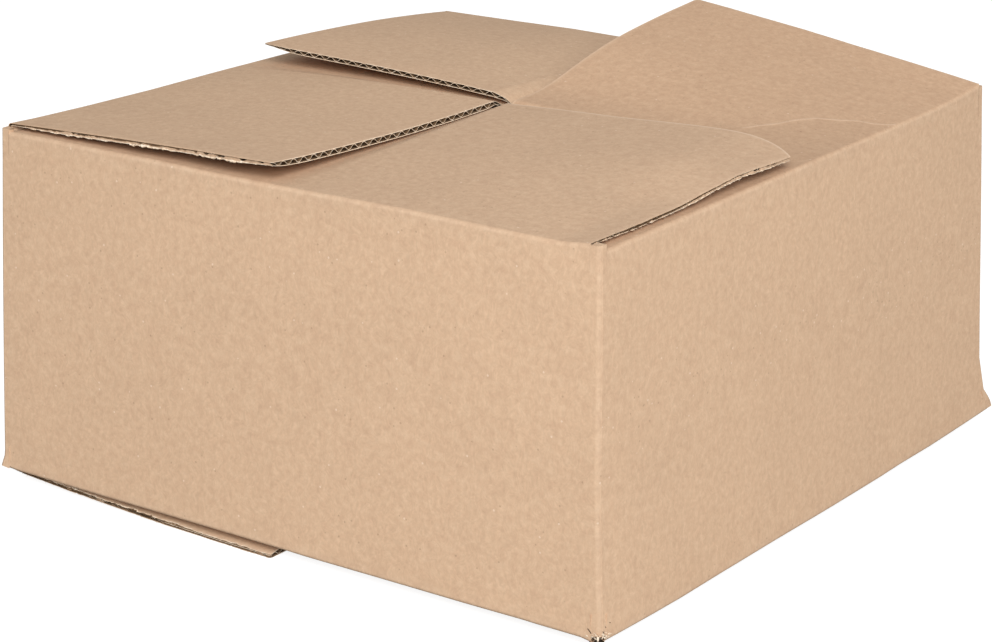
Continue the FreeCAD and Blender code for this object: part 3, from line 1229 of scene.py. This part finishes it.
    def specked(self, add: partial, place: bpy.types.NodeSocket,
                colour: bpy.types.NodeSocket) -> bpy.types.NodeSocket:
        """Scatters dark and light bits of fibre over the paper.

        Args:
            add: Adds a node to the material.
            place: Place on the object.
            colour: Colour of the paper.

        Returns:
            The colour with its specks.
        """
        for size, radius, code, strength in self.specks:
            cells = add("TexVoronoi", {"Vector": place, "Scale": repeats(size),
                                       "Randomness": 1.0}).outputs
            chance = add("SeparateColor", {0: cells["Color"]}).outputs[0]
            pick = add("Math", {0: chance, 1: 0.86}, operation="GREATER_THAN")
            near = add("Math", {0: cells["Distance"], 1: radius}, operation="LESS_THAN")
            speck = add("Math", {0: pick.outputs[0], 1: near.outputs[0]}, operation="MULTIPLY")
            mask = add("Math", {0: speck.outputs[0], 1: strength * self.speck_share},
                       operation="MULTIPLY")
            colour = add("Mix", {0: mask.outputs[0], 6: colour, 7: linear(code)},
                         data_type="RGBA").outputs[2]
        return colour


@dataclass(frozen=True)
class StudioFloor:
    """White sweep of matt paper, lit to white, that keeps the object's soft shadow."""

    name: str = "white_studio_paper"
    colour: str = "a0a0a0"
    lift: float = 0.86

    def material(self) -> bpy.types.Material:
        """Builds the material.

        Returns:
            The finished material.
        """
        made = bpy.data.materials.new(self.name)
        add = partial(add_node, empty_tree(made))
        paper = add("BsdfPrincipled", {"Base Color": linear(self.colour), "Roughness": 0.9,
                                       "Specular IOR Level": 0.0})
        path = add("LightPath").outputs
        seen = add("Math", {0: path["Is Camera Ray"], 1: path["Is Glossy Ray"]},
                   operation="MAXIMUM")
        seen = add("Math", {0: seen.outputs[0], 1: path["Is Transmission Ray"]},
                   operation="MAXIMUM")
        strength = add("Math", {0: seen.outputs[0], 1: self.lift}, operation="MULTIPLY")
        glow = add("Emission", {"Color": linear("ffffff"), "Strength": strength.outputs[0]})
        both = add("AddShader", {0: paper.outputs[0], 1: glow.outputs[0]})
        add("OutputMaterial", {"Surface": both.outputs[0]})
        return made


@dataclass(frozen=True)
class SoftBox:
    """The one large soft box that lights the carton from the front right, in metres."""

    name: str = "key_box"
    place: tuple = (2.024, -2.163, 1.744)
    aim: tuple = (0.0, 0.0, 0.08)
    side: float = 1.9
    power: float = 139.0

    def build(self) -> bpy.types.Object:
        """Adds the area light.

        Returns:
            The light object.
        """
        data = bpy.data.lights.new(self.name, "AREA")
        data.size, data.energy = self.side, self.power
        made = link(bpy.data.objects.new(self.name, data))
        made.location = self.place
        way = Vector(self.aim) - Vector(self.place)
        made.rotation_euler = way.to_track_quat("-Z", "Y").to_euler()
        return made


@dataclass(frozen=True)
class Studio:
    """Floor, surround, light and camera.

    Args:
        camera_place: Place of the camera.
        yaw: Turn of the camera from +Y, in degrees like the next two.
        pitch: How far the camera looks down.
        roll: Turn of the camera round its view.
        lens: Focal length.
        sensor: Width of the picture behind the lens.
        fill: Strength of the surround's light.
        floor_reach: Half of the floor's side, in metres.
    """

    camera_place: tuple = (670.642, -929.528, 429.366)
    yaw: float = -36.005
    pitch: float = 17.852
    roll: float = -0.185
    lens: float = 101.37
    sensor: float = 36.0
    fill: float = 0.4
    floor_reach: float = 6.0

    def floor(self) -> bpy.types.Object:
        """Adds the floor.

        Returns:
            The floor object.
        """
        mesh = bpy.data.meshes.new("studio_floor")
        corners = [(x * self.floor_reach, y * self.floor_reach, 0)
                   for x, y in ((-1, -1), (1, -1), (1, 1), (-1, 1))]
        mesh.from_pydata(corners, [], [(0, 1, 2, 3)])
        mesh.materials.append(StudioFloor().material())
        made = link(bpy.data.objects.new("studio_floor", mesh))
        made.location.z = -0.0002
        made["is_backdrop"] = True
        return made

    def surround(self) -> None:
        """White surround: plain white to the camera, a soft fill for the rest."""
        world = bpy.data.worlds.new("studio")
        add = partial(add_node, empty_tree(world))
        seen = add("LightPath").outputs["Is Camera Ray"]
        strength = add("MapRange", {"Value": seen, "To Min": self.fill, "To Max": 1.0})
        white = add("Background", {"Color": (1, 1, 1, 1), "Strength": strength.outputs[0]})
        add("OutputWorld", {"Surface": white.outputs[0]})
        bpy.context.scene.world = world

    def camera(self) -> bpy.types.Object:
        """Adds the camera, where the photographer's stood.

        Returns:
            The camera object.
        """
        yaw, pitch, roll = (math.radians(v) for v in (self.yaw, self.pitch, self.roll))
        forward = Vector((math.sin(yaw) * math.cos(pitch), math.cos(yaw) * math.cos(pitch),
                          -math.sin(pitch)))
        level = Vector((math.cos(yaw), -math.sin(yaw), 0))
        upright = level.cross(forward)
        right = level * math.cos(roll) + upright * math.sin(roll)
        above = upright * math.cos(roll) - level * math.sin(roll)
        data = bpy.data.cameras.new("camera")
        data.lens, data.sensor_width, data.clip_end = self.lens, self.sensor, 30.0
        made = link(bpy.data.objects.new("camera", data))
        turn = Matrix((right, above, -forward)).transposed()
        made.matrix_world = Matrix.Translation(Vector(self.camera_place) * MM) @ turn.to_4x4()
        bpy.context.scene.camera = made
        return made

    def build(self) -> None:
        """Builds the whole studio."""
        self.floor()
        self.surround()
        SoftBox().build()
        self.camera()
        bpy.context.scene.view_settings.view_transform = "Standard"


@dataclass
class Carton:
    """The closed carton: walls, four top flaps and four bottom flaps."""

    box: Box = field(default_factory=Box)
    board: Board = field(default_factory=Board)
    knocks: Knocks = field(default_factory=Knocks)

    def materials(self) -> list:
        """Materials in the order of Paper's values."""
        # Unbleached liner: warm brown and matt. Torn edges: loose pale fibre with no sheen.
        # Fluting: paper of used fibre, painted darker still as the shade inside the board's open
        # ends.
        liner = KraftPaper("kraft_liner", "c4a386", "caaa8c", "d0b193", "e9d2b8")
        cut = KraftPaper("torn_kraft_edge", "d9bfa3", "e8d3ba", "f4e4d0", "f6e8d6",
                         roughness=0.95, speck_share=0.2, bump=0.12)
        fluting = KraftPaper("fluting_paper", "5e4731", "6e543b", "7f654a", "a58968",
                             roughness=0.9, speck_share=0.5, bump=0.05)
        return [liner.material(), cut.material(), fluting.material()]

    def flaps(self) -> list:
        """How the eight flaps lie.

        Returns:
            The top flaps, then the bottom ones, each in the order of Wall.
        """
        left = FlapSpec(
            Wall.LEFT, End.TOP,
            ((3, 3.2), (34, 2.9), (68, 3.3), (100, 4.4), (130, 5.8), (147, 7.0)),
            3.0, 4.3, 0.3, 1.0, (0, 0), 0.8, 11,
            pinch=(0.24, 0.35, 0.15), fringe=(0.03, 0.98, 1.3), bow=0.8, rubbed=0.1, thin=0.12,
            edge_wear=0.3, belly=1.5,
            hinge=((-147, -3.0), (-65, -1.2), (-30, -0.8), (20, -0.5), (60, -0.5), (100, 0.1),
                   (130, 0.7), (147, 1.4)))
        front = FlapSpec(
            Wall.FRONT, End.TOP,
            ((3, 3.0), (20, 3.7), (40, 4.5), (60, 5.0), (79, 6.0), (98, 6.9), (117, 7.2),
             (130, 6.0), (147, 3.4)),
            3.0, 4.5, 1.0, 1.5, (31.0, 11.0), 0.3, 12, tint=(0.97, 0.97, 0.975),
            pinch=(0.35, 0.3, 0.35), fringe=(0.04, 0.97, 0.6), rubbed=0.35, edge_wear=1.0,
            arch=((0.0, 0.0), (0.21, -0.45), (0.39, -0.4), (0.58, 1.3), (0.68, 1.8),
                  (0.78, 1.2), (0.94, 0.2), (1.0, 0.0)),
            hinge=((-147, -1.3), (-123, -1.0), (-91, -1.25), (-64, -1.15), (-38, -1.6), (0, -1.75),
                   (60, -1.2), (90, -1.6), (130, -1.9), (147, -0.1)))
        right = FlapSpec(
            Wall.RIGHT, End.TOP,
            ((3, 3.0), (13, 3.2), (26, 4.4), (41, 8.0), (56, 11.7), (72, 15.0), (87.5, 17.3),
             (104, 19.1), (120, 20.7), (147, 22.8)),
            3.0, 2.0, 0.3, 0.3, (0, 0), 2.5, 13, bow=1.1, tint=(0.94, 0.905, 0.885),
            crease=((24.7, 44.6), (30.4, 40.9), (37.3, 35.5), (46.4, 31.4), (53.4, 26.0),
                    (57.4, 18.9), (62.9, 12.6), (65.0, 5.9), (69.0, 1.5), (73.0, -1.0)),
            hinge=((-147, -3.2), (-40, -2.1), (0, -1.7), (60, -1.2), (100, -0.9), (126, 0.1),
                   (140, 1.4), (148, 2.2)))
        back = FlapSpec(
            Wall.BACK, End.TOP,
            ((3, 3.3), (9, 5.0), (30, 6.3), (57, 7.6), (85, 8.6), (113, 9.4), (136, 9.9)),
            4.0, 7.0, 12.0, 0.35, (0, 0), 1.0, 14,
            pinch=(0.1, 0.1, 0.6), bow=1.9, thin=0.25, edge_wear=0.2,
            hinge=((-147, -3.0), (0, -0.6), (65, 0.7), (100, 0.5), (147, 0.5)))
        rest = ((3, 2.4), (147, 4.55))
        hidden = ((3, 2.4), (138, 4.55), (147, 4.7))
        bottom = [
            FlapSpec(Wall.LEFT, End.BOTTOM, rest, 5.5, 4.3, 0.6, 1.6, (0, 0), 1.5, 21,
                     pinch=(0.3, 0.2, 0.1), fringe=(0.04, 0.9, 0.75), bow=1.3,
                     hinge=((-147, -3.3), (100, -0.4), (147, 0.5))),
            FlapSpec(Wall.FRONT, End.BOTTOM, hidden, 3.0, 4.5, 13.3, 0.5, (0, 0), 1.5, 22,
                     hinge=((-147, -1.4), (-92, -1.0), (-57, -0.9), (2, -0.6), (12, -0.4),
                            (51, -0.4), (91, -0.3), (110, -0.4), (124, -0.6), (136, -1.1),
                            (143, -1.35), (148, -0.7))),
            FlapSpec(Wall.RIGHT, End.BOTTOM, rest, 3.0, 4.3, 3.5, 0.5, (0, 0), 1.5, 23,
                     hinge=((-147, -1.0), (-139, -0.87), (-118, -0.43), (-97, -0.2), (-70, -0.5),
                            (-27, -0.65), (18, -0.4), (60, -0.4), (78, -0.7), (105, -0.5),
                            (130, -0.85), (147, -0.5))),
            FlapSpec(Wall.BACK, End.BOTTOM, rest, 3.0, 4.3, 3.5, 0.5, (0, 0), 1.5, 24),
        ]
        return [[left, front, right, back], bottom]

    def build(self) -> list:
        """Builds every piece and ties it to the frame.

        Returns:
            The pieces.
        """
        materials = self.materials()
        pieces = [WallRing(self.box, self.board, self.knocks).build(materials)]
        for end in self.flaps():
            for number, spec in enumerate(end):
                surface = FlapSurface(self.box, self.board, spec, end[number - 1])
                pieces.append(BoardFlap(surface, self.knocks).build(materials))
        for piece in pieces:
            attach(piece, BODY)
            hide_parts(NODE)
            LOG.info("%s: %d faces", piece.name, len(piece.data.polygons))
        return pieces


def corners(box: tuple) -> list:
    """The two corners of a box as plain lists."""
    return [[float(value) for value in corner] for corner in box]


def main() -> None:
    """Builds the scene."""
    logging.basicConfig(level=logging.INFO)
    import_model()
    cad_box = corners(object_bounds())
    Carton().build()
    Studio().build()
    {"cad": cad_box, "scene": corners(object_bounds())}


if __name__ == "__main__":
    main()
